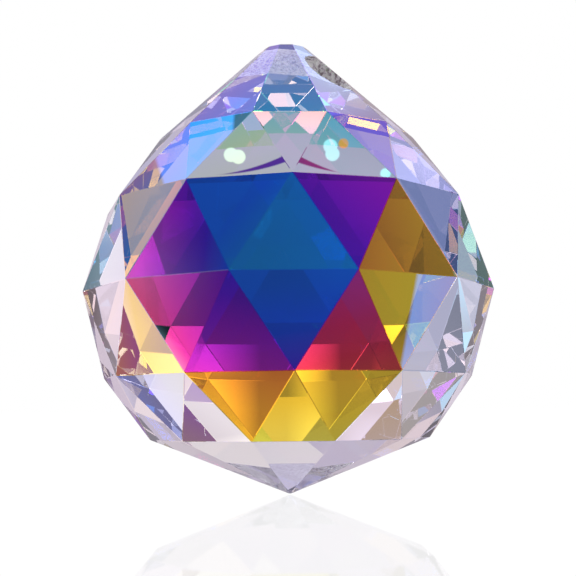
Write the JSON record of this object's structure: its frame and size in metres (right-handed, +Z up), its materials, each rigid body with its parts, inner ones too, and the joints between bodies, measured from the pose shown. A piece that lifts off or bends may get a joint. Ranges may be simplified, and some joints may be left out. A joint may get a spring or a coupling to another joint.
{
  "type": "crystal suncatcher",
  "caption": "Faceted crystal glass ball with a cone top, cross-drilled to hang, with an iridescent rainbow coating on one side.",
  "frame": {"origin": "middle of the hanging hole, on the ball's axis", "axes": "+Z up along the ball's axis to its flat tip, +X along the hanging hole, which runs from one ridge of the cone to the one opposite"},
  "size_m": [0.03, 0.03, 0.0332],
  "materials": {
    "coated_crystal": "clear crystal glass, ground and polished to flat facets, with a thin iridescent metal oxide coating on the facets of one side"
  },
  "bodies": {
    "root": {"crystal": "coated_crystal"}
  },
  "joints": []
}
